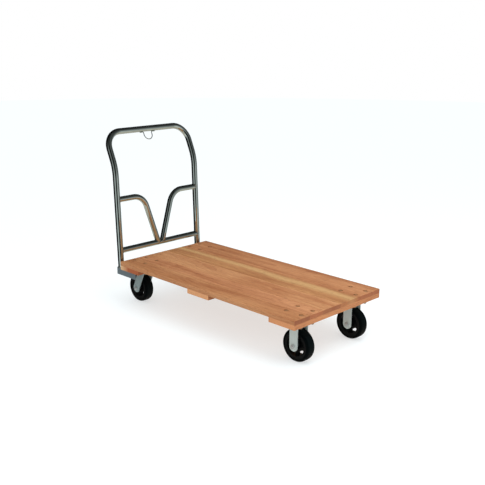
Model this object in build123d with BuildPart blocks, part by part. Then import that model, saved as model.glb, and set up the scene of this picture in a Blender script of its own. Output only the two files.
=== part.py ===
from build123d import *
import os
from math import cos, radians, sin, tan

# Flatbed platform truck: a hardwood deck on two rigid and two swivel casters, with a fixed
# bent-tube push handle.  Millimetres.  +Z is up from the floor, X runs along the deck with the
# handle at -X, and Y runs across.  The origin is on the floor, under the middle of the truck's
# overall length.  "Right" is -Y and "left" is +Y, as seen by someone pushing from the handle.

# ---------------------------------------------------------------- driving dimensions

# Deck
deck_length = 1219.2
deck_width = 609.6
board_thickness = 21.0
board_widths = [100.0, 88.5, 122.5, 130.0]  # from the right edge; the last board fills the rest
board_gap = 0.5
board_edge = 1.2
batten_thickness = 23.0
batten_width = 149.0
batten_edge = 1.0

# Wood screws, driven up from under the battens
screw_diameter = 4.8
screw_head_diameter = 9.4
screw_head_height = 3.2
screw_length = 37.0
screw_recess = 0.6
screw_stagger = 22.0
wood_clearance = 0.1

# Casters
fork_headroom = 38.1  # from the top of the wheel to the underside of the deck
caster_inset_x = 71.0  # from the end of the deck to the caster's centre
caster_inset_y = 113.4  # from the side of the deck to the caster's centre
plate_length = 114.3
plate_width = 101.6
plate_thickness = 6.0
plate_corner = 8.0
bolt_spacing_x = 86.0
bolt_spacing_y = 76.0
bolt_diameter = 9.5
bolt_clearance = 0.3
bolt_head_diameter = 20.6
bolt_head_height = 4.8
bolt_head_rim = 0.8
bolt_head_recess = 3.9  # the heads are let into the deck by this much
bolt_head_gap = 0.5  # round a head in its recess
bolt_neck_depth = 5.0
bolt_end = 3.0  # thread that shows past the nut
bolt_end_chamfer = 1.0
washer_diameter = 19.0
washer_thickness = 1.8
nut_across_flats = 14.3
nut_height = 8.0
nut_turned_ratio = 1.12  # diameter over a nut's turned corners, by its width across flats
nut_bevel_ratio = 0.05  # depth of that bevel, by the same width

# Wheels
wheel_diameter = 152.4
tread_width = 50.8
tread_thickness = 12.7
tread_side_flat = 0.3  # left on the tread's side below its rounding
rim_width = 46.0
rim_thickness = 14.5
web_diameter = 62.0
web_thickness = 14.0
hub_diameter = 42.0
hub_length = 59.5
hub_bore = 31.8
spoke_count = 5
spoke_width = 14.0
spoke_phase = -22.0  # degrees from +X, towards +Z
core_fillet = 1.5
roller_count = 9
roller_length = 48.0
roller_clearance = 0.1

# Forks and axles
leg_thickness = 4.8
leg_width = 45.0
leg_side_play = 2.0  # between the wheel's hub and each leg
fork_bend = 9.0
axle_diameter = 12.7
axle_clearance = 0.2
axle_head_height = 7.5
axle_across_flats = 19.0
axle_end_chamfer = 1.2
sleeve_diameter = 19.0
thrust_washer_diameter = 36.0
thrust_washer_thickness = 1.5

# Swivel heads
swivel_lead = 45.0
race_diameter = 78.0
race_bore = 54.0
race_height = 6.0
ball_circle = 66.0
ball_diameter = 8.0
ball_count = 18
ball_clearance = 0.25
ball_centre_drop = 8.2  # from the underside of the plate
crown_drop = 10.2  # from the underside of the plate to the crown's upper face
crown_thickness = 7.3
crown_rounding = 2.9
crown_lip = 1.9
crown_lip_gap = 0.9
crown_lip_height = 6.0
kingpin_diameter = 14.0
kingpin_clearance = 0.08
kingpin_head_diameter = 24.0
kingpin_end = 1.5
kingpin_nut_across_flats = 22.0
kingpin_nut_height = 9.0
kingpin_countersink = 45  # degrees
swivel_play = 0.3

# Handle
handle_height = 914.4
hoop_diameter = 32.0
hoop_wall = 2.2
handle_inset = 16.8  # from the side of the deck to the outside of an upright
upright_standoff = 39.6  # from the end of the deck to the upright's axis, at its foot
upright_lean = 2.1  # degrees from vertical
bend_height = 485.0  # above the deck
handle_rake = 23.8  # degrees from vertical, above the bend
bend_radius = 250.0
corner_radius = 90.0
brace_diameter = 30.0
brace_wall = 2.0
brace_bend_radius = 88.0
brace_height = 320.0  # above the deck
brace_corner = 102.0  # from the middle of the truck
brace_foot = 13.8  # from the middle of the truck
cross_height = 45.0  # above the deck

# Wire loop under the handle's top bar
wire_diameter = 4.5
loop_half_width = 27.0
loop_depth = 60.0  # below the top bar's axis
loop_foot_reach = 50.0
loop_foot_bend = 5.0
loop_end_flat = 0.2  # straight stretch between the two bends at its far end

# Foot angles under the rear batten
angle_height = 38.1
angle_width = 38.1
angle_reach = 100.0  # from the end of the deck to the angle's inner end
angle_thickness = 4.8
lag_diameter = 8.0
lag_length = 38.8
lag_tip_diameter = 1.6
lag_hole_spare = 4.0  # pilot hole beyond the point
lag_across_flats = 13.0
lag_head_height = 5.5
lag_spacing = 50.0

# ---------------------------------------------------------------- places worked out from them

hoop_radius = hoop_diameter / 2
wheel_radius = wheel_diameter / 2
caster_height = wheel_diameter + fork_headroom
batten_bottom = caster_height
board_bottom = batten_bottom + batten_thickness
deck_top = board_bottom + board_thickness
deck_stack = deck_top - batten_bottom
bolt_seat_z = deck_top - bolt_head_recess

# Side view of the handle, measured back from the end of the deck
lean_slope = tan(radians(upright_lean))
rake_slope = tan(radians(handle_rake))
bend_z = deck_top + bend_height
bar_z = handle_height - hoop_radius
bend_back = upright_standoff + (bend_z - batten_bottom) * lean_slope
bar_back = bend_back + (bar_z - bend_z) * rake_slope
handle_overhang = bar_back + hoop_radius
wheel_overhang = max(0.0, wheel_radius - caster_inset_x)

# Stations along the truck
overall_length = handle_overhang + deck_length + wheel_overhang
deck_rear = handle_overhang - overall_length / 2
deck_front = deck_rear + deck_length
deck_middle = (deck_rear + deck_front) / 2
upright_x = deck_rear - upright_standoff
front_caster_x = deck_front - caster_inset_x
rear_caster_x = deck_rear + caster_inset_x
caster_y = deck_width / 2 - caster_inset_y
handle_half = deck_width / 2 - handle_inset - hoop_radius
cross_z = deck_top + cross_height
brace_z = deck_top + brace_height

plate_bottom = caster_height - plate_thickness
fork_gap = hub_length + 2 * leg_side_play
sides = {"left": 1, "right": -1}

batten_centres = {
    "rear_batten": deck_rear + batten_width / 2,
    "middle_batten": deck_middle,
    "front_batten": deck_front - batten_width / 2,
}

bolt_places = [
    (caster_x + along * bolt_spacing_x / 2, side * caster_y + across * bolt_spacing_y / 2)
    for caster_x in (front_caster_x, rear_caster_x)
    for side in sides.values()
    for along in (-1, 1)
    for across in (-1, 1)
]

board_edges = [-deck_width / 2]
for width in board_widths:
    board_edges.append(board_edges[-1] + width + board_gap)
board_edges.append(deck_width / 2 + board_gap)
board_spans = [(low, high - board_gap) for low, high in zip(board_edges, board_edges[1:])]

lag_places = [
    (deck_rear + angle_reach / 2 + along * lag_spacing / 2, side * handle_half)
    for side in sides.values()
    for along in (-1, 1)
]


def screw_places_for(span):
    """Two screws in every batten for one board, a quarter of its width in from each edge."""
    quarter = (span[1] - span[0]) / 4
    return [
        (centre_x + across * screw_stagger, (span[0] + span[1]) / 2 + across * quarter)
        for centre_x in batten_centres.values()
        for across in (-1, 1)
    ]


screw_places = [place for span in board_spans for place in screw_places_for(span)]


def upright_axis_x(height):
    """Where the straight lower part of an upright's axis stands at a height."""
    return upright_x - (height - batten_bottom) * lean_slope


def save(shape, name):
    """Name a finished piece and write it to its own file."""
    shape.label = name
    export_step(shape, f"parts/{name}.step")


def save_at(shape, name, x, y):
    """Write a copy of a caster piece, modelled on the caster's own axis, at its place."""
    save(shape.moved(Location((x, y, 0))), name)


os.makedirs("parts", exist_ok=True)

# ---------------------------------------------------------------- deck

# What the caster bolts, the lag screws and the wood screws pass through or bite into
with BuildPart() as bolt_holes:
    with Locations(*[(x, y, batten_bottom) for x, y in bolt_places]):
        Cylinder(
            bolt_diameter / 2 + bolt_clearance,
            deck_stack,
            align=(Align.CENTER, Align.CENTER, Align.MIN),
        )
    with Locations(*[(x, y, bolt_seat_z) for x, y in bolt_places]):
        Cylinder(
            bolt_head_diameter / 2 + bolt_head_gap,
            bolt_head_height,
            align=(Align.CENTER, Align.CENTER, Align.MIN),
        )
        Box(
            bolt_diameter + 2 * wood_clearance,
            bolt_diameter + 2 * wood_clearance,
            bolt_neck_depth + wood_clearance,
            align=(Align.CENTER, Align.CENTER, Align.MAX),
        )

with BuildPart() as lag_holes:
    with Locations(*[(x, y, batten_bottom) for x, y in lag_places]):
        Cylinder(
            lag_diameter / 2 + wood_clearance,
            lag_length - angle_thickness + lag_hole_spare,
            align=(Align.CENTER, Align.CENTER, Align.MIN),
        )

# One wood screw, point up, with the face of its head at z = 0
with BuildPart() as wood_screw:
    with BuildSketch(Plane.XZ):
        with BuildLine():
            Polyline(
                (0, 0),
                (screw_head_diameter / 2, 0),
                (screw_diameter / 2, screw_head_height),
                (screw_diameter / 2, screw_length - screw_diameter),
                (0, screw_length),
                close=True,
            )
        make_face()
    revolve(axis=Axis.Z)

with BuildPart() as screw_hole:
    with BuildSketch(Plane.XZ):
        with BuildLine():
            Polyline(
                (0, -screw_recess),
                (screw_head_diameter / 2 + wood_clearance, -screw_recess),
                (screw_head_diameter / 2 + wood_clearance, 0),
                (screw_diameter / 2 + wood_clearance, screw_head_height),
                (screw_diameter / 2 + wood_clearance, screw_length - screw_diameter),
                (0, screw_length + wood_clearance),
                close=True,
            )
        make_face()
    revolve(axis=Axis.Z)

screw_seat_z = batten_bottom + screw_recess
with BuildPart() as deck_screws:
    with Locations(*[(x, y, screw_seat_z) for x, y in screw_places]):
        add(wood_screw.part)
save(deck_screws.part, "deck_screws")

with BuildPart() as screw_holes:
    with Locations(*[(x, y, screw_seat_z) for x, y in screw_places]):
        add(screw_hole.part)

for number, span in enumerate(board_spans, start=1):
    with BuildPart() as board:
        with Locations((deck_middle, (span[0] + span[1]) / 2, board_bottom)):
            Box(
                deck_length,
                span[1] - span[0],
                board_thickness,
                align=(Align.CENTER, Align.CENTER, Align.MIN),
            )
        chamfer(board.faces().sort_by(Axis.Z)[-1].edges(), board_edge)
        add(bolt_holes.part, mode=Mode.SUBTRACT)
        add(lag_holes.part, mode=Mode.SUBTRACT)
        add(screw_holes.part, mode=Mode.SUBTRACT)
    save(board.part, f"deck_board_{number}")

for name, centre_x in batten_centres.items():
    with BuildPart() as batten:
        with Locations((centre_x, 0, batten_bottom)):
            Box(
                batten_width,
                deck_width,
                batten_thickness,
                align=(Align.CENTER, Align.CENTER, Align.MIN),
            )
        chamfer(batten.faces().sort_by(Axis.Z)[0].edges(), batten_edge)
        add(bolt_holes.part, mode=Mode.SUBTRACT)
        add(lag_holes.part, mode=Mode.SUBTRACT)
        add(screw_holes.part, mode=Mode.SUBTRACT)
    save(batten.part, name)

# ---------------------------------------------------------------- handle

hoop_points = [
    (upright_axis_x(batten_bottom - hoop_radius), -handle_half, batten_bottom - hoop_radius),
    (upright_axis_x(bend_z), -handle_half, bend_z),
    (deck_rear - bar_back, -handle_half, bar_z),
    (deck_rear - bar_back, handle_half, bar_z),
    (upright_axis_x(bend_z), handle_half, bend_z),
    (upright_axis_x(batten_bottom - hoop_radius), handle_half, batten_bottom - hoop_radius),
]
hoop_radii = [bend_radius, corner_radius, corner_radius, bend_radius]


def tube_along(points, radii, radius, wall=None):
    """A round tube bent along a path, or a solid bar where no wall is given."""
    with BuildPart() as tube:
        with BuildLine() as path:
            FilletPolyline(*points, radius=radii)
        with BuildSketch(Plane(origin=path.line @ 0, z_dir=path.line % 0)):
            Circle(radius)
            if wall is not None:
                Circle(radius - wall, mode=Mode.SUBTRACT)
        sweep()
    return tube.part


# The outside of the hoop, used to shape the ends of the tubes that are welded to it
hoop_body = tube_along(hoop_points, hoop_radii, hoop_radius)

with BuildPart() as handle_hoop:
    add(tube_along(hoop_points, hoop_radii, hoop_radius, hoop_wall))
    split(bisect_by=Plane.XY.offset(batten_bottom), keep=Keep.TOP)
save(handle_hoop.part, "handle_hoop")

cross_x = upright_axis_x(cross_z)
with BuildPart() as cross_body:
    with BuildSketch(Plane(origin=(cross_x, -handle_half, cross_z), z_dir=(0, 1, 0))):
        Circle(brace_diameter / 2)
    extrude(amount=2 * handle_half)

with BuildPart() as cross_tube:
    with BuildSketch(Plane(origin=(cross_x, -handle_half, cross_z), z_dir=(0, 1, 0))):
        Circle(brace_diameter / 2)
        Circle(brace_diameter / 2 - brace_wall, mode=Mode.SUBTRACT)
    extrude(amount=2 * handle_half)
    add(hoop_body, mode=Mode.SUBTRACT)
save(cross_tube.part, "handle_cross_tube")

brace_x = upright_axis_x(brace_z)
brace_points = [
    (brace_x, -handle_half, brace_z),
    (brace_x, -brace_corner, brace_z),
    (cross_x, -brace_foot, cross_z),
]
with BuildPart() as brace:
    add(tube_along(brace_points, brace_bend_radius, brace_diameter / 2, brace_wall))
    add(hoop_body, mode=Mode.SUBTRACT)
    add(cross_body.part, mode=Mode.SUBTRACT)
save(mirror(brace.part, about=Plane.XZ), "handle_brace_left")
save(brace.part, "handle_brace_right")

# The loop lies in the plane of the raked top of the handle, with local Y up along the rake
rake = radians(handle_rake)
loop_plane = Plane(
    origin=(deck_rear - bar_back, 0, bar_z), x_dir=(0, 1, 0), z_dir=(cos(rake), 0, sin(rake))
)
foot_level = -(hoop_radius + wire_diameter / 2)
loop_outline = [
    (-loop_foot_reach, foot_level),
    (-loop_half_width, foot_level),
    (-loop_half_width, -loop_depth),
    (loop_half_width, -loop_depth),
    (loop_half_width, foot_level),
    (loop_foot_reach, foot_level),
]
loop_round = loop_half_width - loop_end_flat / 2
loop_points = [loop_plane.from_local_coords((x, y, 0)) for x, y in loop_outline]
wire_loop = tube_along(
    loop_points, [loop_foot_bend, loop_round, loop_round, loop_foot_bend], wire_diameter / 2
)
save(wire_loop, "wire_loop")

# ---------------------------------------------------------------- foot angles and their screws

# Section of the right-hand angle: local X inwards from its outer face, local Y up
angle_start = upright_axis_x(batten_bottom) - hoop_radius
angle_length = deck_rear + angle_reach - angle_start
angle_plane = Plane(
    origin=(angle_start, -handle_half - hoop_radius, batten_bottom),
    x_dir=(0, 1, 0),
    z_dir=(1, 0, 0),
)
with BuildPart() as foot_angle:
    with BuildSketch(angle_plane) as angle_section:
        with BuildLine():
            Polyline(
                (0, 0),
                (angle_width, 0),
                (angle_width, -angle_thickness),
                (angle_thickness, -angle_thickness),
                (angle_thickness, -angle_height),
                (0, -angle_height),
                close=True,
            )
        make_face()
        outer_corner = angle_section.vertices().group_by(Axis.Y)[-1].sort_by(Axis.X)[0]
        fillet(outer_corner, angle_thickness / 2)
    extrude(amount=angle_length)
    with Locations(*[(x, y, batten_bottom) for x, y in lag_places if y < 0]):
        Cylinder(
            lag_diameter / 2 + wood_clearance,
            angle_thickness,
            align=(Align.CENTER, Align.CENTER, Align.MAX),
            mode=Mode.SUBTRACT,
        )
save(mirror(foot_angle.part, about=Plane.XZ), "foot_angle_left")
save(foot_angle.part, "foot_angle_right")

# One lag screw, point up, with the bearing face of its head at z = 0
with BuildPart() as lag_screw:
    with BuildSketch(Plane.XY.offset(-lag_head_height)):
        RegularPolygon(lag_across_flats / 2, 6, major_radius=False)
    extrude(amount=lag_head_height)
    with BuildSketch():
        Circle(lag_diameter / 2)
    extrude(amount=lag_length)
    chamfer(lag_screw.faces().sort_by(Axis.Z)[-1].edges(), (lag_diameter - lag_tip_diameter) / 2)

with BuildPart() as foot_lag_screws:
    with Locations(*[(x, y, batten_bottom - angle_thickness) for x, y in lag_places]):
        add(lag_screw.part)
save(foot_lag_screws.part, "foot_lag_screws")

# ---------------------------------------------------------------- caster bolts

bolt_length = bolt_seat_z - plate_bottom + washer_thickness + nut_height + bolt_end

# One carriage bolt with the underside of its head at z = 0: a domed head, a square neck that
# bites into the deck, and a plain shank down to the nut
head_radius = bolt_head_diameter / 2
dome_rise = bolt_head_height - bolt_head_rim
dome_radius = (head_radius**2 + dome_rise**2) / (2 * dome_rise)
with BuildPart() as carriage_bolt:
    with BuildSketch(Plane.XZ):
        with BuildLine():
            Polyline((0, bolt_head_height), (0, 0), (head_radius, 0), (head_radius, bolt_head_rim))
            RadiusArc((head_radius, bolt_head_rim), (0, bolt_head_height), -dome_radius)
        make_face()
    revolve(axis=Axis.Z)
    with BuildSketch():
        Rectangle(bolt_diameter, bolt_diameter)
    extrude(amount=-bolt_neck_depth)
    with BuildSketch():
        Circle(bolt_diameter / 2)
    extrude(amount=-bolt_length)
    chamfer(carriage_bolt.faces().sort_by(Axis.Z)[0].edges(), bolt_end_chamfer)

with BuildPart() as caster_bolts:
    with Locations(*[(x, y, bolt_seat_z) for x, y in bolt_places]):
        add(carriage_bolt.part)
save(caster_bolts.part, "caster_bolts")

with BuildPart() as caster_washers:
    with BuildSketch(Plane.XY.offset(plate_bottom)):
        with Locations(*bolt_places):
            Circle(washer_diameter / 2)
            Circle(bolt_diameter / 2 + bolt_clearance, mode=Mode.SUBTRACT)
    extrude(amount=-washer_thickness)
save(caster_washers.part, "caster_washers")


def hex_nut(across_flats, bore, height):
    """A hexagon nut standing on z = 0, with its corners turned off at both faces."""
    turned = across_flats * nut_turned_ratio / 2
    bevel = across_flats * nut_bevel_ratio
    with BuildPart() as nut:
        with BuildSketch():
            RegularPolygon(across_flats / 2, 6, major_radius=False)
            Circle(bore / 2, mode=Mode.SUBTRACT)
        extrude(amount=height)
        with BuildSketch(Plane.XZ):
            with BuildLine():
                Polyline(
                    (0, 0),
                    (turned - bevel, 0),
                    (turned, bevel),
                    (turned, height - bevel),
                    (turned - bevel, height),
                    (0, height),
                    close=True,
                )
            make_face()
        revolve(axis=Axis.Z, mode=Mode.INTERSECT)
    return nut.part


caster_nut = hex_nut(nut_across_flats, bolt_diameter + wood_clearance, nut_height)
with BuildPart() as caster_nuts:
    with Locations(
        *[(x, y, plate_bottom - washer_thickness - nut_height) for x, y in bolt_places]
    ):
        add(caster_nut)
save(caster_nuts.part, "caster_nuts")

# ---------------------------------------------------------------- wheels, on an axle at x = 0

rim_outer = wheel_radius - tread_thickness
rim_inner = rim_outer - rim_thickness
wheel_plane = Plane(origin=(0, 0, wheel_radius), x_dir=(1, 0, 0), z_dir=(0, -1, 0))
wheel_axis = Axis((0, 0, wheel_radius), (0, 1, 0))
# Half section: local X along the axle, local Y out from it
section_plane = Plane(origin=(0, 0, wheel_radius), x_dir=(0, 1, 0), z_dir=(1, 0, 0))

with BuildPart() as wheel_tread:
    with BuildSketch(section_plane):
        with Locations((0, rim_outer)):
            Rectangle(tread_width, tread_thickness, align=(Align.CENTER, Align.MIN))
    revolve(axis=wheel_axis)
    shoulders = wheel_tread.edges().filter_by(GeomType.CIRCLE).group_by(
        lambda edge: edge.radius
    )[-1]
    fillet(shoulders, tread_thickness - tread_side_flat)

with BuildPart() as wheel_core:
    with BuildSketch(section_plane):
        with Locations((0, rim_inner)):
            Rectangle(rim_width, rim_thickness, align=(Align.CENTER, Align.MIN))
        with Locations((0, hub_bore / 2)):
            Rectangle(
                hub_length, (hub_diameter - hub_bore) / 2, align=(Align.CENTER, Align.MIN)
            )
            Rectangle(
                web_thickness, (web_diameter - hub_bore) / 2, align=(Align.CENTER, Align.MIN)
            )
    revolve(axis=wheel_axis)
    with BuildSketch(wheel_plane):
        with PolarLocations(0, spoke_count, start_angle=spoke_phase):
            with Locations((web_diameter / 2 - core_fillet, 0)):
                Rectangle(
                    rim_inner - web_diameter / 2 + 2 * core_fillet,
                    spoke_width,
                    align=(Align.MIN, Align.CENTER),
                )
    extrude(amount=web_thickness / 2, both=True)
    fillet(
        wheel_core.edges()
        .filter_by(Axis.Y)
        .filter_by(lambda edge: hub_diameter / 2 < (edge.center() - wheel_plane.origin).length)
        .filter_by(lambda edge: (edge.center() - wheel_plane.origin).length < rim_outer),
        2 * core_fillet,
    )

roller_radius = (hub_bore - sleeve_diameter) / 4 - roller_clearance
roller_circle = (hub_bore + sleeve_diameter) / 4
with BuildPart() as wheel_rollers:
    with BuildSketch(wheel_plane):
        with PolarLocations(roller_circle, roller_count):
            Circle(roller_radius)
    extrude(amount=roller_length / 2, both=True)

with BuildPart() as axle_sleeve:
    with BuildSketch(wheel_plane):
        Circle(sleeve_diameter / 2)
        Circle(axle_diameter / 2 + axle_clearance, mode=Mode.SUBTRACT)
    extrude(amount=fork_gap / 2, both=True)

washer_y = fork_gap / 2 - thrust_washer_thickness
with BuildPart() as thrust_washers:
    with BuildSketch(wheel_plane.offset(washer_y), wheel_plane.offset(-fork_gap / 2)):
        Circle(thrust_washer_diameter / 2)
        Circle(sleeve_diameter / 2 + axle_clearance, mode=Mode.SUBTRACT)
    extrude(amount=thrust_washer_thickness)

fork_outer = fork_gap / 2 + leg_thickness
axle_end = fork_outer + axle_head_height + bolt_end
# The bolt's head is on the +Y side of the fork and its nut on the -Y side
with BuildPart() as axle_bolt:
    with BuildSketch(wheel_plane.offset(-fork_outer)):
        Circle(axle_diameter / 2)
    extrude(amount=fork_outer + axle_end)
    chamfer(axle_bolt.faces().sort_by(Axis.Y)[0].edges(), axle_end_chamfer)
    with BuildSketch(wheel_plane.offset(-fork_outer)):
        RegularPolygon(axle_across_flats / 2, 6, major_radius=False)
    extrude(amount=-axle_head_height)

axle_nut_blank = hex_nut(axle_across_flats, axle_diameter + wood_clearance, axle_head_height)
axle_nut = axle_nut_blank.moved(Location(wheel_plane.offset(fork_outer)))

# ---------------------------------------------------------------- top plates

with BuildPart() as rigid_plate:
    with BuildSketch(Plane.XY.offset(plate_bottom)):
        RectangleRounded(plate_length, plate_width, plate_corner)
        with GridLocations(bolt_spacing_x, bolt_spacing_y, 2, 2):
            Circle(bolt_diameter / 2 + bolt_clearance, mode=Mode.SUBTRACT)
    extrude(amount=plate_thickness)

ball_z = plate_bottom - ball_centre_drop
with BuildPart() as ball_track:
    with Locations((0, 0, ball_z)):
        Torus(ball_circle / 2, ball_diameter / 2 + ball_clearance)

kingpin_hole = kingpin_diameter / 2 + kingpin_clearance
with BuildPart() as swivel_plate:
    add(rigid_plate.part)
    with BuildSketch(Plane.XY.offset(plate_bottom)):
        Circle(race_diameter / 2)
        Circle(race_bore / 2, mode=Mode.SUBTRACT)
    extrude(amount=-race_height)
    add(ball_track.part, mode=Mode.SUBTRACT)
    with BuildSketch(Plane.XY.offset(caster_height)):
        Circle(kingpin_head_diameter / 2 + wood_clearance)
    extrude(amount=-plate_thickness, taper=kingpin_countersink, mode=Mode.SUBTRACT)
    with BuildSketch(Plane.XY.offset(plate_bottom)):
        Circle(kingpin_hole)
    extrude(amount=plate_thickness, mode=Mode.SUBTRACT)

# ---------------------------------------------------------------- forks


def fork_legs(top_z, top_x, axle_x):
    """Two straight legs with round ends, from the fork's crown down past the axle."""
    run = Vector(axle_x - top_x, wheel_radius - top_z)
    square = Vector(-run.Y, run.X).normalized() * (leg_width / 2)
    if square.X < 0:
        square = -square
    head = Vector(top_x, top_z)
    foot = Vector(axle_x, wheel_radius)
    level = leg_width / 2 / abs(square.normalized().X)
    leg_plane = Plane(origin=(0, -fork_outer, 0), x_dir=(1, 0, 0), z_dir=(0, -1, 0))
    with BuildPart() as legs:
        with BuildSketch(leg_plane, leg_plane.offset(-2 * fork_outer + leg_thickness)):
            with BuildLine():
                Line(foot + square, (head.X + level, head.Y))
                Line((head.X + level, head.Y), (head.X - level, head.Y))
                Line((head.X - level, head.Y), foot - square)
                ThreePointArc(
                    foot - square, foot + run.normalized() * (leg_width / 2), foot + square
                )
            make_face()
        extrude(amount=-leg_thickness)
        with BuildSketch(leg_plane):
            with Locations((axle_x, wheel_radius)):
                Circle(axle_diameter / 2 + axle_clearance)
        extrude(amount=-2 * fork_outer, mode=Mode.SUBTRACT)
    return legs.part


with BuildPart() as rigid_fork:
    add(fork_legs(plate_bottom, 0, 0))
    with Locations((0, 0, plate_bottom)):
        Box(
            leg_width,
            2 * fork_outer,
            leg_thickness,
            align=(Align.CENTER, Align.CENTER, Align.MAX),
        )
    fillet(
        rigid_fork.edges().filter_by(Axis.X).group_by(Axis.Z)[-1],
        fork_bend,
    )

crown_top = plate_bottom - crown_drop
crown_bottom = crown_top - crown_thickness
crown_radius = race_diameter / 2 + crown_lip_gap + crown_lip
with BuildPart() as swivel_fork:
    with BuildSketch(Plane.XY.offset(crown_bottom)):
        Circle(crown_radius)
    extrude(amount=crown_thickness + crown_lip_height)
    with BuildSketch(Plane.XY.offset(crown_top)):
        Circle(race_diameter / 2 + crown_lip_gap)
    extrude(amount=crown_lip_height, mode=Mode.SUBTRACT)
    fillet(swivel_fork.faces().sort_by(Axis.Z)[0].edges(), crown_rounding)
    add(fork_legs(crown_top, 0, -swivel_lead))
    add(ball_track.part, mode=Mode.SUBTRACT)
    with BuildSketch(Plane.XY.offset(crown_bottom)):
        Circle(kingpin_hole)
    extrude(amount=crown_thickness, mode=Mode.SUBTRACT)

with BuildPart() as swivel_balls:
    with Locations((0, 0, ball_z)):
        with PolarLocations(ball_circle / 2, ball_count):
            Sphere(ball_diameter / 2)

kingpin_nut_top = crown_bottom - swivel_play
kingpin_bottom = kingpin_nut_top - kingpin_nut_height - kingpin_end
with BuildPart() as kingpin:
    with BuildSketch(Plane.XY.offset(caster_height - wood_clearance)):
        Circle(kingpin_head_diameter / 2)
    extrude(amount=-(kingpin_head_diameter - kingpin_diameter) / 2, taper=kingpin_countersink)
    with BuildSketch(Plane.XY.offset(kingpin_bottom)):
        Circle(kingpin_diameter / 2)
    extrude(amount=caster_height - wood_clearance - kingpin_bottom)
    chamfer(kingpin.faces().sort_by(Axis.Z)[0].edges(), axle_end_chamfer)

kingpin_nut_blank = hex_nut(
    kingpin_nut_across_flats, kingpin_diameter + wood_clearance, kingpin_nut_height
)
kingpin_nut = kingpin_nut_blank.moved(Location((0, 0, kingpin_nut_top - kingpin_nut_height)))

# ---------------------------------------------------------------- casters at their places

wheel_pieces = {
    "wheel_tread": wheel_tread.part,
    "wheel_core": wheel_core.part,
    "wheel_rollers": wheel_rollers.part,
}
# Each piece on an axle: its name on one rear caster, its name for both front casters, its shape
axle_pieces = [
    ("axle_sleeve", "front_axle_sleeves", axle_sleeve.part),
    ("thrust_washers", "front_thrust_washers", thrust_washers.part),
    ("axle_bolt", "front_axle_bolts", axle_bolt.part),
    ("axle_nut", "front_axle_nuts", axle_nut),
]

for side_name, side in sides.items():
    y = side * caster_y
    save_at(rigid_plate.part, f"rigid_plate_{side_name}", front_caster_x, y)
    save_at(rigid_fork.part, f"rigid_fork_{side_name}", front_caster_x, y)
    save_at(swivel_plate.part, f"swivel_plate_{side_name}", rear_caster_x, y)
    save_at(swivel_fork.part, f"swivel_fork_{side_name}", rear_caster_x, y)
    save_at(swivel_balls.part, f"swivel_balls_{side_name}", rear_caster_x, y)
    save_at(kingpin.part, f"kingpin_{side_name}", rear_caster_x, y)
    save_at(kingpin_nut, f"kingpin_nut_{side_name}", rear_caster_x, y)
    for name, shape in wheel_pieces.items():
        save_at(shape, f"front_{name}_{side_name}", front_caster_x, y)
        save_at(shape, f"rear_{name}_{side_name}", rear_caster_x - swivel_lead, y)
    for name, _, shape in axle_pieces:
        save_at(shape, f"rear_{name}_{side_name}", rear_caster_x - swivel_lead, y)

# The rigid forks never move, so each kind of axle fastening there shares one node
for _, front_name, shape in axle_pieces:
    with BuildPart() as front_pair:
        with Locations((front_caster_x, caster_y, 0), (front_caster_x, -caster_y, 0)):
            add(shape)
    save(front_pair.part, front_name)
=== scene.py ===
from math import atan2, cos, hypot, pi, radians, sin, sqrt

import bmesh
import bpy
from mathutils import Matrix, Vector


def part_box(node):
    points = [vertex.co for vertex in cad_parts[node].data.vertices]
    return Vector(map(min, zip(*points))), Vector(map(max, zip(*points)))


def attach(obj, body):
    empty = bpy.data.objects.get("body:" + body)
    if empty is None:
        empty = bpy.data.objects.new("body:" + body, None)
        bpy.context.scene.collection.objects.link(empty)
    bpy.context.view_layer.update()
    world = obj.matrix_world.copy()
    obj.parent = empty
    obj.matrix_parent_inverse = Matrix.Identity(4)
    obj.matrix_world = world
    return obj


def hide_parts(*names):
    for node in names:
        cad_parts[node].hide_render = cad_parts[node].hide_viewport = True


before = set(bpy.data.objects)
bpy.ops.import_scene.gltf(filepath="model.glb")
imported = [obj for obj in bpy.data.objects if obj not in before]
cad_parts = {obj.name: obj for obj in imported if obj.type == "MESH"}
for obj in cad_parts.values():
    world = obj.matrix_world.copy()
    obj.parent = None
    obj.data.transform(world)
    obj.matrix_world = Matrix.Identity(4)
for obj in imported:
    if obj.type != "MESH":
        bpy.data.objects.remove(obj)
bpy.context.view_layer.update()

bpy.ops.object.select_all(action="DESELECT")

# ------------------------------------------------------------------ deck boards
# Five planed hardwood planks, laid side by side along the truck and oiled.  Growth rings run
# round the pith of the tree, so they show as long streaks on the faces and as arcs on the
# sawn ends, which soak up more oil and go darker and redder.


def srgb(text):
    """An sRGB hex colour as the linear RGBA that a shader takes."""
    channels = [int(text[start : start + 2], 16) / 255 for start in (0, 2, 4)]
    linear = [c / 12.92 if c <= 0.04045 else ((c + 0.055) / 1.055) ** 2.4 for c in channels]
    return (*linear, 1.0)


def add_node(material, kind, inputs=None, **settings):
    """Add a node. settings are its own; inputs gives each socket a value or a link."""
    node = material.node_tree.nodes.new("ShaderNode" + kind)
    for name, value in settings.items():
        setattr(node, name, value)
    for key, value in (inputs or {}).items():
        if isinstance(value, bpy.types.NodeSocket):
            material.node_tree.links.new(value, node.inputs[key])
        else:
            node.inputs[key].default_value = value
    return node


def new_material(name, **surface):
    """A named material with one Principled surface, whose plain values are set on it."""
    material = bpy.data.materials.new(name)
    material.use_nodes = True
    shader = material.node_tree.nodes["Principled BSDF"]
    for socket, value in surface.items():
        shader.inputs[socket.replace("_", " ")].default_value = value
    return material, shader


def link(material, output, socket):
    """Join a node's output to a socket."""
    material.node_tree.links.new(output, socket)


def paint(names, material):
    """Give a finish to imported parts, in their own material slots."""
    for name in names:
        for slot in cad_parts[name].material_slots:
            slot.material = material


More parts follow.
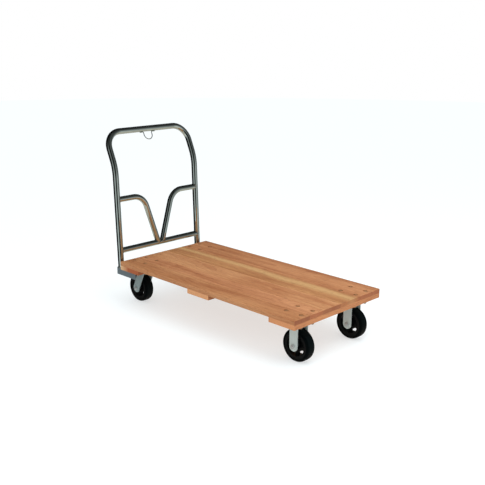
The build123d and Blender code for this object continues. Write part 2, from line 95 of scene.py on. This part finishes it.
# Blender's ring texture makes 20 / (2 pi) rings per unit at scale 1
RINGS_PER_UNIT = 20 / (2 * pi)
ring_spacing = 0.0075
ring_wander = 0.075
ring_share = 0.22
streak_width = 0.022
# Real pores are under half a millimetre wide, and these are drawn coarser so that they show
pore_width = 0.0011
pore_width_to_length = 0.03
pore_tone = "a88a76"
# Where the streaks, patches and rings add up to the light tone, and to the dark one
light_total, dark_total = 0.84, 1.42
end_stain = 0.8
sapwood_strength = 0.85
# Where along the truck a sapwood span reaches its narrowest and its widest
taper_rear, taper_front = -0.54, 0.68


def sapwood_mask(material, wandering, end_mask, span, taper, kept_on_ends):
    """How pale the wood is: most in the middle of a span across it, soft at both its sides."""
    across = add_node(material, "SeparateXYZ", {"Vector": wandering})
    middle, half = (span[0] + span[1]) / 2, (span[1] - span[0]) / 2
    off = add_node(material, "Math", {0: across.outputs["Y"], 1: middle}, operation="SUBTRACT")
    away = add_node(material, "Math", {0: off.outputs[0]}, operation="ABSOLUTE")
    narrowing = add_node(material, "MapRange", {
        "Value": across.outputs["X"], "From Min": taper_rear, "From Max": taper_front,
        "To Min": taper, "To Max": 1 / taper})
    tapered = add_node(material, "Math", {0: away.outputs[0], 1: narrowing.outputs["Result"]},
                       operation="MULTIPLY")
    pale_mask = add_node(material, "MapRange", {
        "Value": tapered.outputs[0], "From Min": half * 1.5, "From Max": half * 0.3,
        "To Max": sapwood_strength})
    unstained = add_node(material, "MapRange", {
        "Value": end_mask, "To Min": 1.0, "To Max": kept_on_ends})
    return add_node(material, "Math", {
        0: pale_mask.outputs["Result"], 1: unstained.outputs["Result"]},
        operation="MULTIPLY").outputs[0]


def hardwood(name, tones, pith, seed, grain_along_y=False, sapwood=None, taper=1.0):
    """Oiled hardwood: heartwood tones from light to dark, an end-grain tone, and its pith.

    The pith is a line along the grain, given by its place across the board and its height.
    sapwood is the span across the board that stayed pale, next to the bark. It is narrower at
    the rear than in the middle by the number taper, and as much wider at the front.
    """
    light, dark, end_tone, pale = (srgb(tone) for tone in tones)
    material, shader = new_material(name, Specular_IOR_Level=0.42, IOR=1.5)
    place = add_node(material, "TexCoord")
    turn = (0, 0, pi / 2) if grain_along_y else (0, 0, 0)
    grain = add_node(
        material, "Mapping", {"Vector": place.outputs["Object"], "Rotation": turn}
    ).outputs["Vector"]

    # The trunk wasn't straight, so the rings wander slowly along the board
    slow = add_node(material, "Mapping", {"Vector": grain, "Location": (seed, seed, 0),
                                          "Scale": (1.6, 5.0, 5.0)}).outputs["Vector"]
    wander = add_node(material, "TexNoise", {"Vector": slow, "Scale": 1.0, "Detail": 2.0})
    centred = add_node(material, "VectorMath", {0: wander.outputs["Color"], 1: (0.5, 0.5, 0.5)},
                       operation="SUBTRACT")
    shift = add_node(material, "VectorMath", {
        0: centred.outputs["Vector"], "Scale": ring_wander}, operation="SCALE")
    wandering = add_node(material, "VectorMath", {0: grain, 1: shift.outputs["Vector"]},
                         operation="ADD")
    from_pith = add_node(material, "Mapping", {"Vector": wandering.outputs["Vector"],
                                               "Location": (0, -pith[0], -pith[1])})
    rings = add_node(
        material, "TexWave",
        {"Vector": from_pith.outputs["Vector"], "Scale": 1 / (RINGS_PER_UNIT * ring_spacing),
         "Distortion": 2.2, "Detail": 3.0, "Detail Scale": 0.35, "Detail Roughness": 0.6},
        wave_type="RINGS", rings_direction="X", wave_profile="SAW",
    )

    # Broad streaks of colour, long along the grain
    streak_place = add_node(material, "Mapping", {
        "Vector": wandering.outputs["Vector"], "Location": (seed * 3, seed, seed),
        "Scale": (0.9, 1 / streak_width, 0.5 / streak_width)})
    streaks = add_node(material, "TexNoise", {
        "Vector": streak_place.outputs["Vector"], "Scale": 1.0, "Detail": 4.0, "Roughness": 0.55})
    patch_place = add_node(material, "Mapping", {
        "Vector": grain, "Location": (seed, 0, 0), "Scale": (2.4, 8.0, 8.0)})
    patches = add_node(material, "TexNoise", {
        "Vector": patch_place.outputs["Vector"], "Scale": 1.0, "Detail": 3.0})

    # Open pores: short dark lines, far longer than they are wide
    pore_place = add_node(material, "Mapping", {
        "Vector": grain,
        "Scale": (pore_width_to_length / pore_width, 1 / pore_width, 1 / pore_width)})
    pores = add_node(material, "TexNoise", {
        "Vector": pore_place.outputs["Vector"], "Scale": 1.0, "Detail": 2.0})
    pore_mask = add_node(material, "MapRange", {
        "Value": pores.outputs["Fac"], "From Min": 0.56, "From Max": 0.70})

    tone = add_node(material, "Math", {0: streaks.outputs["Fac"], 1: patches.outputs["Fac"]},
                    operation="ADD")
    total = add_node(material, "Math", {
        0: rings.outputs["Fac"], 1: ring_share, 2: tone.outputs[0]}, operation="MULTIPLY_ADD")
    depth = add_node(material, "MapRange", {
        "Value": total.outputs[0], "From Min": light_total, "From Max": dark_total})
    colour = add_node(material, "Mix", {0: depth.outputs["Result"], 6: light, 7: dark},
                      data_type="RGBA")

    # Sawn ends face along the grain, and soak up more oil
    facing = add_node(material, "SeparateXYZ", {"Vector": place.outputs["Normal"]})
    end_face = add_node(material, "Math", {0: facing.outputs["Y" if grain_along_y else "X"]},
                        operation="ABSOLUTE")
    end_mask = add_node(material, "MapRange", {
        "Value": end_face.outputs[0], "From Min": 0.75, "From Max": 0.95, "To Max": end_stain})
    ended = add_node(material, "Mix", {0: end_mask.outputs["Result"],
                                       6: colour.outputs[2], 7: end_tone}, data_type="RGBA")
    if sapwood:
        # A board's sawn end is stained dark over its sapwood, and a batten's isn't
        pale_mask = sapwood_mask(material, wandering.outputs["Vector"],
                                 end_mask.outputs["Result"], sapwood, taper,
                                 kept_on_ends=1.0 if grain_along_y else 0.15)
        ended = add_node(material, "Mix", {0: pale_mask, 6: ended.outputs[2], 7: pale},
                         data_type="RGBA")

    # Pores darken whatever tone is under them
    pored = add_node(material, "Mix", {0: pore_mask.outputs["Result"], 6: (1, 1, 1, 1),
                                       7: srgb(pore_tone)}, data_type="RGBA")
    final = add_node(material, "Mix", {0: 1.0, 6: ended.outputs[2], 7: pored.outputs[2]},
                     data_type="RGBA", blend_type="MULTIPLY")
    link(material, final.outputs[2], shader.inputs["Base Color"])

    # Streaks took up the oil unevenly, and pores and early wood lie a little lower
    gloss = add_node(material, "MapRange", {
        "Value": streaks.outputs["Fac"], "From Min": 0.3, "From Max": 0.7,
        "To Min": 0.42, "To Max": 0.58})
    link(material, gloss.outputs["Result"], shader.inputs["Roughness"])
    height = add_node(material, "Math", {0: pore_mask.outputs["Result"], 1: -0.6,
                                         2: rings.outputs["Fac"]}, operation="MULTIPLY_ADD")
    relief = add_node(material, "Bump", {"Height": height.outputs[0], "Distance": 0.00012,
                                         "Strength": 0.7})
    link(material, relief.outputs["Normal"], shader.inputs["Normal"])
    return material


# Tones of each board from the right: light, dark, sawn end, sapwood; then its pith and seed
board_woods = [
    (("c08a5c", "a2663c", "8a4a2a", "cfa673"), (-0.235, 0.10), 1.3, None),
    (("c68c60", "a5683f", "a05a34", "cfa673"), (-0.150, 0.33), 4.1, None),
    (("c99364", "a96c42", "8f4f2d", "cfa673"), (-0.040, 0.12), 7.7, None),
    (("bd8857", "a0673c", "a8683c", "c9a06b"), (0.040, 0.36), 2.9, (0.070, 0.112)),
    (("c48a5d", "a06238", "9b5630", "cfa673"), (0.225, 0.09), 9.2, None),
]
for number, (tones, pith, seed, sapwood) in enumerate(board_woods, start=1):
    plank = hardwood(f"oiled_hardwood_plank_{number}", tones, pith, seed, sapwood=sapwood,
                     taper=1.35)
    paint([f"deck_board_{number}"], plank)

# ------------------------------------------------------------------ battens
# Three cross battens of the same oiled wood, screwed up into the boards from below.  Their
# grain runs across the truck, so their sawn ends show at the deck's long sides.
batten_woods = {
    "rear_batten": (("b5703f", "8f4a26", "a4562f", "dcb687"), (-0.46, 0.12), 5.5),
    "middle_batten": (("c08450", "9c5d35", "d79c6c", "cfa673"), (0.06, 0.30), 3.3),
    "front_batten": (("c58554", "a4633a", "cb8a5a", "cfa673"), (0.60, 0.10), 8.4),
}
pale_edge = 0.045
for name, (tones, pith, seed) in batten_woods.items():
    # The rear batten has its pale, bark-side edge at the end of the deck
    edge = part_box(name)[0].x
    pale = (edge - pale_edge, edge + pale_edge) if name == "rear_batten" else None
    wood = hardwood(f"oiled_hardwood_{name}", tones, pith, seed, grain_along_y=True,
                    sapwood=pale)
    paint([name], wood)

# ------------------------------------------------------------------ casters
# Pressed steel forks and top plates, zinc plated: a matt pale grey with a faint cloudy tint
# from the chromate dip, and scratches that are drawn coarser than real ones so that they show.
plating_unevenness = 0.07


def plated_steel(name, tone, cloud_tone, roughness, scratch_depth, metallic=1.0):
    """Zinc-plated steel, cloudy and scratched, and less metallic where its film is chalky."""
    material, shader = new_material(name, Metallic=metallic)
    place = add_node(material, "TexCoord").outputs["Object"]
    clouds = add_node(material, "TexNoise", {"Vector": place, "Scale": 45.0, "Detail": 4.0})
    colour = add_node(material, "Mix", {0: clouds.outputs["Fac"], 6: srgb(tone),
                                        7: srgb(cloud_tone)}, data_type="RGBA")
    link(material, colour.outputs[2], shader.inputs["Base Color"])
    scratch_place = add_node(material, "Mapping", {
        "Vector": place, "Rotation": (0.3, 0.5, 0.7), "Scale": (25.0, 700.0, 700.0)})
    scratches = add_node(material, "TexNoise", {
        "Vector": scratch_place.outputs["Vector"], "Scale": 1.0, "Detail": 2.0})
    matt = add_node(material, "MapRange", {
        "Value": clouds.outputs["Fac"], "From Min": 0.3, "From Max": 0.7,
        "To Min": roughness - plating_unevenness, "To Max": roughness + plating_unevenness})
    link(material, matt.outputs["Result"], shader.inputs["Roughness"])
    relief = add_node(material, "Bump", {"Height": scratches.outputs["Fac"],
                                         "Distance": scratch_depth, "Strength": 0.5})
    link(material, relief.outputs["Normal"], shader.inputs["Normal"])
    return material


sides = ("left", "right")
# The same zinc is given two tones: the front rigid casters' copy is paler, as painted light, and
# the rear swivels' copy is darker, as painted shade from the deck above them.
rigid_zinc_painted_light = plated_steel("zinc_plated_rigid_pressing_painted_light", "dde9e6", "c8d4d0", 0.40, 0.00003,
                          metallic=0.5)
swivel_zinc_painted_shade = plated_steel("zinc_plated_swivel_pressing_painted_shade", "b2c4c4", "9cacac", 0.40, 0.00003,
                           metallic=0.5)
paint([f"rigid_{part}_{side}" for part in ("fork", "plate") for side in sides], rigid_zinc_painted_light)
paint([f"swivel_{part}_{side}" for part in ("fork", "plate") for side in sides], swivel_zinc_painted_shade)

# ------------------------------------------------------------------ wheels: treads
# Moulded black rubber, bonded round a cast core: satin black, greyer where it rolls, with the
# mould's joint line round the middle and a low rib on each shoulder.
tread_radius = 0.0762
tread_depth = 0.0127
tread_half_width = 0.0254
tread_rounding = 0.0124
rolling_from = 0.0735
mould_line = 0.0003
mould_line_half_width = 0.0006
rib_height = 0.0005
# A rib lies this share of the edge's rounding in from the rolling face, on the outer parts
rib_share = 0.42
rib_half_width = 0.0010
rib_from = 0.015
# A face or an edge is at a place when it is this near it
nearness = 0.001


def moulded_rubber(name, axle):
    """Black rubber, scuffed and dusty where it rolls, centred on its own axle."""
    material, shader = new_material(name, Specular_IOR_Level=0.04, IOR=1.52)
    place = add_node(material, "TexCoord").outputs["Object"]
    dust = add_node(material, "TexNoise", {"Vector": place, "Scale": 60.0, "Detail": 5.0})
    centred = add_node(material, "Mapping", {"Vector": place, "Location": tuple(-axle)})
    parts = add_node(material, "SeparateXYZ", {"Vector": centred.outputs["Vector"]})
    flat = add_node(material, "CombineXYZ", {"X": parts.outputs["X"], "Z": parts.outputs["Z"]})
    radius = add_node(material, "VectorMath", {0: flat.outputs["Vector"]}, operation="LENGTH")
    rolling = add_node(material, "MapRange", {
        "Value": radius.outputs["Value"], "From Min": rolling_from,
        "From Max": tread_radius})
    grey = add_node(material, "Math", {0: rolling.outputs["Result"], 1: dust.outputs["Fac"]},
                    operation="MULTIPLY")
    colour = add_node(material, "Mix", {0: grey.outputs[0], 6: srgb("010607"),
                                        7: srgb("0c1415")}, data_type="RGBA")
    link(material, colour.outputs[2], shader.inputs["Base Color"])
    matt = add_node(material, "MapRange", {"Value": dust.outputs["Fac"], "To Min": 0.42,
                                           "To Max": 0.66})
    link(material, matt.outputs["Result"], shader.inputs["Roughness"])
    relief = add_node(material, "Bump", {"Height": dust.outputs["Fac"], "Distance": 0.0002,
                                         "Strength": 0.35})
    link(material, relief.outputs["Normal"], shader.inputs["Normal"])
    return material


def select_faces(piece, wanted):
    """Select, in edit mode, the faces that a test picks out, and nothing else."""
    mesh = bmesh.from_edit_mesh(piece.data)
    bpy.ops.mesh.select_all(action="DESELECT")
    bpy.ops.mesh.select_mode(type="FACE")
    for face in mesh.faces:
        face.select_set(wanted(face))
    mesh.select_flush_mode()
    bmesh.update_edit_mesh(piece.data)


def select_edges(piece, wanted):
    """Select, in edit mode, the edges that a test picks out, and nothing else."""
    mesh = bmesh.from_edit_mesh(piece.data)
    bpy.ops.mesh.select_all(action="DESELECT")
    bpy.ops.mesh.select_mode(type="EDGE")
    for edge in mesh.edges:
        edge.select_set(wanted(edge))
    mesh.select_flush_mode()
    bmesh.update_edit_mesh(piece.data)


def off_axle(point, axle):
    """How far a point is from a wheel's axis."""
    return sqrt((point.x - axle.x) ** 2 + (point.z - axle.z) ** 2)


def rubber_tread(name, axle):
    """A tread turned about its axle, with the mould's joint line and a rib on each shoulder."""
    bpy.ops.mesh.primitive_cylinder_add(
        vertices=128, radius=tread_radius - mould_line, depth=2 * tread_half_width,
        location=axle, rotation=(pi / 2, 0, 0))
    tread = bpy.context.object
    tread.name = name
    bpy.ops.object.transform_apply(location=True, rotation=True, scale=True)
    bpy.ops.object.mode_set(mode="EDIT")
    select_faces(tread, lambda face: abs(face.normal.y) > 0.9)
    bpy.ops.mesh.inset(thickness=tread_depth - mould_line, use_even_offset=True)
    bpy.ops.mesh.bridge_edge_loops()
    select_edges(tread, lambda edge: abs(edge.verts[0].co.y - edge.verts[1].co.y) < 1e-6
                 and all(off_axle(v.co, axle) > tread_radius - nearness for v in edge.verts))
    bpy.ops.mesh.bevel(offset=tread_rounding, segments=10, profile=0.5, affect="EDGES")

    # The mould's joint line stands up all round the middle of the rolling face
    select_faces(tread, lambda face: abs(face.calc_center_median().y - axle.y) < nearness
                 and off_axle(face.calc_center_median(), axle) > tread_radius - nearness)
    bpy.ops.mesh.inset(thickness=tread_half_width - tread_rounding - mould_line_half_width)
    bpy.ops.transform.shrink_fatten(value=0.9 * mould_line)

    # A low rib stands up on each shoulder
    shoulder = tread_radius - rib_share * tread_rounding
    select_faces(tread, lambda face: abs(off_axle(face.calc_center_median(), axle) - shoulder)
                 < rib_half_width and abs(face.calc_center_median().y - axle.y) > rib_from)
    bpy.ops.mesh.inset(thickness=rib_height)
    bpy.ops.transform.shrink_fatten(value=rib_height)
    bpy.ops.mesh.select_all(action="SELECT")
    bpy.ops.mesh.remove_doubles(threshold=1e-6)
    bpy.ops.mesh.normals_make_consistent(inside=False)
    bpy.ops.object.mode_set(mode="OBJECT")
    bpy.ops.object.shade_smooth_by_angle(angle=radians(35))
    return tread


wheel_names = [(end, side) for end in ("front", "rear") for side in sides]
for end, side in wheel_names:
    low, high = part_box(f"{end}_wheel_tread_{side}")
    axle = (low + high) / 2
    tread = rubber_tread(f"{end}_rubber_tread_{side}", axle)
    tread.data.materials.append(moulded_rubber(f"moulded_rubber_{end}_{side}", axle))
    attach(tread, f"wheel_{end}_{side}")
    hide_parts(f"{end}_wheel_tread_{side}")

# ------------------------------------------------------------------ wheels: cores
# Sand-cast iron, dipped in black enamel that dries to a satin film over the pebbly cast skin,
# whose grain is drawn coarser than sand so that it shows.  Each core holds its tread outside
# and turns on rollers inside its hub.
iron, iron_shader = new_material("black_enamelled_cast_iron", Specular_IOR_Level=0.15,
                                  Coat_Weight=0.06, Coat_Roughness=0.2)
place = add_node(iron, "TexCoord").outputs["Object"]
skin = add_node(iron, "TexNoise", {"Vector": place, "Scale": 350.0, "Detail": 3.0})
film = add_node(iron, "TexNoise", {"Vector": place, "Scale": 30.0, "Detail": 3.0})
iron_tone = add_node(iron, "Mix", {0: film.outputs["Fac"], 6: srgb("040607"), 7: srgb("0c0f10")},
                     data_type="RGBA")
link(iron, iron_tone.outputs[2], iron_shader.inputs["Base Color"])
iron_matt = add_node(iron, "MapRange", {"Value": film.outputs["Fac"], "To Min": 0.3,
                                        "To Max": 0.55})
link(iron, iron_matt.outputs["Result"], iron_shader.inputs["Roughness"])
iron_relief = add_node(iron, "Bump", {"Height": skin.outputs["Fac"], "Distance": 0.0004,
                                      "Strength": 0.5})
link(iron, iron_relief.outputs["Normal"], iron_shader.inputs["Normal"])
paint([f"{end}_wheel_core_{side}" for end, side in wheel_names], iron)

# ------------------------------------------------------------------ bearings
# Ground bearing steel under a film of grease: the swivels' balls, the wheels' rollers, and the
# sleeves and thrust washers on the axle bolts that they run on and between.
bearing_steel = plated_steel("ground_bearing_steel", "a7a9aa", "8b8c8a", 0.24, 0.00001)
paint([f"{end}_wheel_rollers_{side}" for end, side in wheel_names], bearing_steel)
paint([f"swivel_balls_{side}" for side in sides], bearing_steel)
paint(["front_axle_sleeves", "front_thrust_washers"], bearing_steel)
paint([f"rear_{part}_{side}" for part in ("axle_sleeve", "thrust_washers") for side in sides],
      bearing_steel)

# ------------------------------------------------------------------ axle bolts and kingpins
# Cold-headed bolts with turned nuts, bright zinc plated, through the forks and the swivels.
# The wood screws and lag screws under the deck have the same finish.
bright_zinc = plated_steel("bright_zinc_hardware", "d6dadb", "bfc3c1", 0.28, 0.00002,
                           metallic=0.65)
paint(["front_axle_bolts", "front_axle_nuts", "deck_screws", "foot_lag_screws"], bright_zinc)
paint([f"rear_{part}_{side}" for part in ("axle_bolt", "axle_nut") for side in sides], bright_zinc)
paint([f"{part}_{side}" for part in ("kingpin", "kingpin_nut") for side in sides], bright_zinc)

# ------------------------------------------------------------------ caster bolts
# Carriage bolts whose domed heads are tinted a warm orange close to the deck's oiled wood, partly
# a yellow zinc finish and partly a painted reflection of the wood round them, so that they hardly
# show in it; plain dull zinc nuts and washers under the casters.
# Painted reflection: the heads' base holds the wood's warm tone, and they are only about half
# metallic so that this tone shows.
yellow_zinc_and_wood_reflection = plated_steel("yellow_zinc_painted_wood_reflection", "bf9167", "8a6440", 0.45, 0.00004,
                           metallic=0.45)
dull_zinc = plated_steel("dull_zinc_nuts", "9a968e", "75716a", 0.45, 0.00004, metallic=0.8)
paint(["caster_bolts"], yellow_zinc_and_wood_reflection)
paint(["caster_washers", "caster_nuts"], dull_zinc)

# ------------------------------------------------------------------ handle
# Steel tube, bent, welded and then bright plated: a mirror that is slightly wavy, and hazed
# in places by handling.


def bright_plate(name, tone, roughness):
    """Bright plating over drawn tube, with smudges and slight waves."""
    material, shader = new_material(name, Metallic=1.0)
    place = add_node(material, "TexCoord").outputs["Object"]
    smudge = add_node(material, "TexNoise", {"Vector": place, "Scale": 22.0, "Detail": 5.0})
    colour = add_node(material, "Mix", {0: smudge.outputs["Fac"], 6: srgb(tone),
                                        7: srgb("aeb9b5")}, data_type="RGBA")
    link(material, colour.outputs[2], shader.inputs["Base Color"])
    matt = add_node(material, "MapRange", {
        "Value": smudge.outputs["Fac"], "From Min": 0.35, "From Max": 0.7,
        "To Min": roughness, "To Max": roughness + 0.07})
    link(material, matt.outputs["Result"], shader.inputs["Roughness"])
    waves = add_node(material, "TexNoise", {"Vector": place, "Scale": 35.0, "Detail": 1.0})
    relief = add_node(material, "Bump", {"Height": waves.outputs["Fac"], "Distance": 0.0004,
                                         "Strength": 0.3})
    link(material, relief.outputs["Normal"], shader.inputs["Normal"])
    return material


tube_finish = bright_plate("bright_plated_tube", "d0e0da", 0.03)
paint(["handle_hoop", "handle_cross_tube", "handle_brace_left", "handle_brace_right",
       "wire_loop"], tube_finish)

# ------------------------------------------------------------------ welds
# Fillet welds run by hand where tube meets tube: a low rippled bead of steel, plated with
# the rest, a little duller and yellower from the heat.
hoop_radius = 0.016
brace_radius = 0.015
bead_radius = 0.0021
ripple_pitch = 0.0022
ripple_swell = 0.16
hand_swell = 0.08
# Turns each bead's uneven run to a place of its own, from the height of its joint
hand_turn = 90


def weld_bead(name, joint, branch, branch_radius, main=None, main_radius=0.0):
    """A bead round a branch tube where it meets a main tube, or a flat plate if main is None.

    joint is where the two axes cross; branch and main are the directions of those axes. The
    bead follows the line where the branch tube runs into the main one.
    """
    ripples = round(2 * pi * branch_radius / ripple_pitch)
    bpy.ops.mesh.primitive_torus_add(major_segments=6 * ripples, minor_segments=12,
                                     major_radius=branch_radius, minor_radius=bead_radius)
    bead = bpy.context.object
    bead.name = name
    branch = branch.normalized()
    across = branch.orthogonal().normalized()
    third = branch.cross(across)
    for vertex in bead.data.vertices:
        turn = atan2(vertex.co.y, vertex.co.x)
        outward = across * cos(turn) + third * sin(turn)
        swell = (1 + ripple_swell * abs(sin(ripples * turn / 2))
                 + hand_swell * sin(3 * turn + joint.z * hand_turn))
        rise = 0.0
        if main is not None:
            run = branch - main * branch.dot(main)
            reach = outward * branch_radius
            reach = reach - main * reach.dot(main)
            under = reach.dot(run) ** 2 - run.length_squared * (
                reach.length_squared - main_radius**2)
            rise = (sqrt(max(under, 0.0)) - reach.dot(run)) / run.length_squared
        off = (hypot(vertex.co.x, vertex.co.y) - branch_radius) * swell
        vertex.co = joint + outward * (branch_radius + off) + branch * (
            rise + vertex.co.z * swell)
    bpy.ops.object.shade_smooth()
    bead.data.materials.append(weld_metal)
    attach(bead, "root")


weld_metal = bright_plate("plated_weld_bead", "b9b2a2", 0.24)
hoop_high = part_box("handle_hoop")[1]
cross_low, cross_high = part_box("handle_cross_tube")
brace_low, brace_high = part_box("handle_brace_left")
hoop_lean = radians(2.1)
upright = Vector((-sin(hoop_lean), 0, cos(hoop_lean)))
upright_y = hoop_high.y - hoop_radius
cross_place = (cross_low + cross_high) / 2
brace_top = Vector((brace_low.x + brace_radius, 0, brace_high.z - brace_radius))
# How far off the middle a brace lands on the cross tube, and where its slope meets its level top
brace_foot_y, brace_corner_y = 0.0138, 0.102
angle_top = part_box("foot_angle_left")[1].z
foot_place = cross_place - upright * (cross_place.z - angle_top) / cos(hoop_lean)
for side, sign in (("left", 1), ("right", -1)):
    inward = Vector((0, -sign, 0))
    beside = Vector((0, sign * upright_y, 0))
    weld_bead(f"weld_cross_tube_{side}", Vector((cross_place.x, 0, cross_place.z)) + beside,
              inward, brace_radius, upright, hoop_radius)
    weld_bead(f"weld_brace_top_{side}", brace_top + beside, inward, brace_radius, upright,
              hoop_radius)
    foot = Vector((cross_place.x, sign * brace_foot_y, cross_place.z))
    corner = Vector((brace_top.x, sign * brace_corner_y, brace_top.z))
    weld_bead(f"weld_brace_foot_{side}", foot, corner - foot, brace_radius,
              Vector((0, 1, 0)), brace_radius)
    weld_bead(f"weld_upright_foot_{side}", Vector((foot_place.x, 0, angle_top)) + beside,
              Vector((0, 0, 1)), hoop_radius)

# ------------------------------------------------------------------ foot angles
# Two short lengths of bent steel angle under the rear batten, welded to the uprights and
# sprayed a blue-grey.
enamel, enamel_shader = new_material("blue_grey_enamel", Specular_IOR_Level=0.5)
place = add_node(enamel, "TexCoord").outputs["Object"]
peel = add_node(enamel, "TexNoise", {"Vector": place, "Scale": 500.0, "Detail": 1.0})
grime = add_node(enamel, "TexNoise", {"Vector": place, "Scale": 28.0, "Detail": 5.0})
enamel_tone = add_node(enamel, "Mix", {0: grime.outputs["Fac"], 6: srgb("69757a"),
                                       7: srgb("545f64")}, data_type="RGBA")
link(enamel, enamel_tone.outputs[2], enamel_shader.inputs["Base Color"])
enamel_matt = add_node(enamel, "MapRange", {"Value": grime.outputs["Fac"], "To Min": 0.35,
                                            "To Max": 0.6})
link(enamel, enamel_matt.outputs["Result"], enamel_shader.inputs["Roughness"])
enamel_relief = add_node(enamel, "Bump", {"Height": peel.outputs["Fac"], "Distance": 0.0001,
                                          "Strength": 0.4})
link(enamel, enamel_relief.outputs["Normal"], enamel_shader.inputs["Normal"])
paint([f"foot_angle_{side}" for side in sides], enamel)

# ------------------------------------------------------------------ studio
# A wide sheet of white card on the floor, under an even white tent with broad soft lights.  The
# card glows a little: painted light that lightens the truck's shadow on it, though it is no lamp.
# Bright metal mirrors the tent's upright panels, which are pale and dark by turns, as in a real
# studio.
floor_radius = 14.0
# How brightly the floor card glows, as painted light that lightens the truck's shadow on it
shadow_lifting_glow = 0.56
tent_light = 0.93
# The panels' strength at the height of the truck, its share left at the top, and its most
panel_light, panel_top_share, panel_most = 0.62, 0.11, 1.5
warm_from, warm_full = -0.35, -0.5
bpy.ops.mesh.primitive_circle_add(vertices=128, radius=floor_radius, fill_type="NGON",
                                  location=(0, 0, 0))
floor = bpy.context.object
floor.name = "studio_floor"
card, card_shader = new_material("glowing_white_card_painted_light", Roughness=1.0, Specular_IOR_Level=0.0)
# Painted light: the card's cool grey cancels the pink that the deck bounces into its shadow, and
# its glow lightens that shadow.
card_shader.inputs["Base Color"].default_value = srgb("b0b9bc")
card_shader.inputs["Emission Color"].default_value = srgb("ffffff")
card_shader.inputs["Emission Strength"].default_value = shadow_lifting_glow
floor.data.materials.append(card)
floor.visible_glossy = False


def soft_light(name, place, aim, size, power):
    """A soft rectangular light at a place, turned to face a point, which metal doesn't mirror."""
    light = bpy.data.lights.new(name, "AREA")
    light.shape = "RECTANGLE"
    light.size, light.size_y = size
    light.energy = power
    lamp = bpy.data.objects.new(name, light)
    lamp.location = place
    lamp.rotation_euler = (Vector(aim) - Vector(place)).to_track_quat("-Z", "Y").to_euler()
    lamp.visible_glossy = False
    bpy.context.scene.collection.objects.link(lamp)


soft_light("overhead_softbox", (1.3, -0.2, 2.4), (0.9, 0, 0), (1.8, 1.8), 25)
soft_light("side_softbox", (1.9, -3.2, 1.7), (0.8, 0, 0.2), (1.4, 1.6), 18)
soft_light("front_softbox", (3.8, 0.4, 1.8), (0, 0, 0.3), (1.2, 1.8), 8)

scene = bpy.context.scene
scene.view_settings.view_transform = "Standard"
tent = bpy.data.worlds.new("studio_tent")
scene.world = tent
tent.use_nodes = True
even = tent.node_tree.nodes["Background"]
even.inputs["Color"].default_value = srgb("ffffff")
even.inputs["Strength"].default_value = tent_light
way = add_node(tent, "TexCoord").outputs["Generated"]
turn = add_node(tent, "TexGradient", {"Vector": way}, gradient_type="RADIAL")
panels = add_node(tent, "ValToRGB", {"Fac": turn.outputs["Fac"]})
# Share of a turn from -X, through -Y, +X and +Y, with the tone of the tent there
panel_tones = [(0.00, "020202"), (0.222, "050505"), (0.242, "dadada"), (0.330, "e0e0e0"),
               (0.352, "2c2c2c"), (0.470, "343434"), (0.492, "dcdcdc"), (0.595, "d0d0d0"),
               (0.620, "8a8a8a"), (0.740, "828282"), (0.765, "b4b4b4"), (0.850, "a8a8a8"),
               (0.872, "020202"), (1.00, "020202")]
while len(panels.color_ramp.elements) < len(panel_tones):
    panels.color_ramp.elements.new(0.5)
for stop, (share, tone) in zip(panels.color_ramp.elements, panel_tones):
    stop.position = share
    stop.color = srgb(tone)
height = add_node(tent, "SeparateXYZ", {"Vector": way})
# The tent fades with height, from its lit skirt to a dark top
fade = add_node(tent, "Math", {0: panel_top_share, 1: height.outputs["Z"]}, operation="POWER")
scaled = add_node(tent, "Math", {0: fade.outputs[0], 1: panel_light}, operation="MULTIPLY")
strength = add_node(tent, "Math", {0: scaled.outputs[0], 1: panel_most}, operation="MINIMUM")
# Low down the tent is warm with light off the deck
low_down = add_node(tent, "MapRange", {"Value": height.outputs["Z"], "From Min": warm_from,
                                       "From Max": warm_full})
warmed = add_node(tent, "Mix", {0: low_down.outputs["Result"], 6: panels.outputs["Color"],
                                7: srgb("b4aa9f")}, data_type="RGBA")
mirrored = add_node(tent, "Background", {"Color": warmed.outputs[2],
                                         "Strength": strength.outputs[0]})
ray = add_node(tent, "LightPath")
seen = add_node(tent, "MixShader", {"Fac": ray.outputs["Is Glossy Ray"],
                                    1: even.outputs["Background"],
                                    2: mirrored.outputs["Background"]})
backdrop = add_node(tent, "Background", {"Color": srgb("ffffff")})
whole = add_node(tent, "MixShader", {"Fac": ray.outputs["Is Camera Ray"],
                                     1: seen.outputs["Shader"],
                                     2: backdrop.outputs["Background"]})
link(tent, whole.outputs["Shader"], tent.node_tree.nodes["World Output"].inputs["Surface"])

# ------------------------------------------------------------------ camera
# Off the right front corner, a little above the handle, looking down along the deck through
# a slightly long lens, so that the far end shrinks only a little.
deck_low, deck_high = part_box("deck_board_1")[0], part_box("deck_board_5")[1]
deck_middle = Vector(((deck_low.x + deck_high.x) / 2, 0, deck_high.z))
camera_offset = Vector((2.5747, -2.5815, 1.1579))
camera_place = deck_middle + camera_offset
camera_forward = Vector((-0.6820, 0.6826, -0.2626))
camera_roll = radians(0.19)
lens = bpy.data.cameras.new("camera")
lens.lens = 56.67
lens.sensor_width = 36.0
lens.clip_end = 50.0
camera = bpy.data.objects.new("camera", lens)
facing = camera_forward.to_track_quat("-Z", "Y").to_matrix().to_4x4()
rolled = facing @ Matrix.Rotation(camera_roll, 4, "Z")
camera.matrix_world = Matrix.Translation(camera_place) @ rolled
scene.collection.objects.link(camera)
scene.camera = camera
